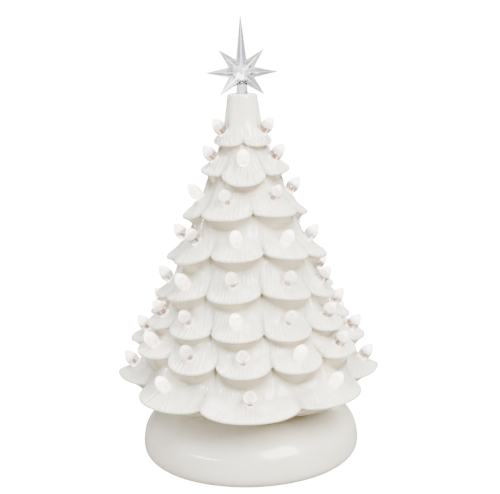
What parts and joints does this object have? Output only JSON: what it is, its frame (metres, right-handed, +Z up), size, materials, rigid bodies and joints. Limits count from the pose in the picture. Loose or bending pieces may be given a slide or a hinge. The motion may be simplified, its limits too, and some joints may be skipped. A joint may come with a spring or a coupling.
{
  "type": "artificial tabletop tree",
  "caption": "Glazed ceramic tabletop tree with clear peg bulbs and a lift-out star, lifting off a round base that holds a battery light unit.",
  "frame": {"origin": "centre of the base on the table, under the tree's axis", "axes": "+Z up the tree's axis to the star, -Y towards the front, +X to the right seen from the front"},
  "size_m": [0.235, 0.235, 0.394],
  "materials": {
    "tree_glaze": "glossy warm white glaze over fine needle ridges",
    "base_glaze": "smooth glossy warm white glaze",
    "bulb_clear": "clear moulded plastic, polished",
    "star_clear": "clear faceted moulded plastic",
    "white_plastic": "fine moulded texture",
    "dark_plastic": "fine moulded texture",
    "cell_jacket": "printed shrink sleeve without marks",
    "nickel_plate": "nickel-plated strip",
    "circuit_board": "solder-masked board",
    "frosted_cap": "frosted translucent plastic",
    "felt": "pressed felt"
  },
  "bodies": {
    "base": {"base_shell": "base_glaze", "bottom_plate": "white_plastic", "battery_box": "white_plastic", "battery_1": "cell_jacket", "battery_2": "cell_jacket", "battery_3": "cell_jacket", "contact_front": "nickel_plate", "contact_rear": "nickel_plate", "switch_body": "dark_plastic", "light_post": "white_plastic", "led_board": "circuit_board", "led_1": "bulb_clear", "led_2": "bulb_clear", "led_3": "bulb_clear", "light_diffuser": "frosted_cap", "foot_pad_1": "felt", "foot_pad_2": "felt", "foot_pad_3": "felt", "foot_pad_4": "felt"},
    "tree": {"tree_shell": "tree_glaze", "bulb_01": "bulb_clear", "bulb_02": "bulb_clear", "bulb_03": "bulb_clear", "bulb_04": "bulb_clear", "bulb_05": "bulb_clear", "bulb_06": "bulb_clear", "bulb_07": "bulb_clear", "bulb_08": "bulb_clear", "bulb_09": "bulb_clear", "bulb_10": "bulb_clear", "bulb_11": "bulb_clear", "bulb_12": "bulb_clear", "bulb_13": "bulb_clear", "bulb_14": "bulb_clear", "bulb_15": "bulb_clear", "bulb_16": "bulb_clear", "bulb_17": "bulb_clear", "bulb_18": "bulb_clear", "bulb_19": "bulb_clear", "bulb_20": "bulb_clear", "bulb_21": "bulb_clear", "bulb_22": "bulb_clear", "bulb_23": "bulb_clear", "bulb_24": "bulb_clear", "bulb_25": "bulb_clear", "bulb_26": "bulb_clear", "bulb_27": "bulb_clear", "bulb_28": "bulb_clear", "bulb_29": "bulb_clear", "bulb_30": "bulb_clear", "bulb_31": "bulb_clear", "bulb_32": "bulb_clear", "bulb_33": "bulb_clear", "bulb_34": "bulb_clear", "bulb_35": "bulb_clear", "bulb_36": "bulb_clear", "bulb_37": "bulb_clear"},
    "star": {"star_topper": "star_clear"},
    "door": {"battery_door": "white_plastic"},
    "switch": {"switch_slider": "white_plastic"}
  },
  "joints": [
    {"name": "tree_lift", "type": "slide", "parent": "base", "child": "tree", "axis": [0, 0, 1], "range_m": [0, 0.09]},
    {"name": "star_lift", "type": "slide", "parent": "tree", "child": "star", "axis": [0, 0, 1], "range_m": [0, 0.03]},
    {"name": "battery_door_slide", "type": "slide", "parent": "base", "child": "door", "axis": [0, 1, 0], "range_m": [0, 0.03]},
    {"name": "power_switch", "type": "slide", "parent": "base", "child": "switch", "axis": [0, 1, 0], "range_m": [-0.003, 0]}
  ]
}
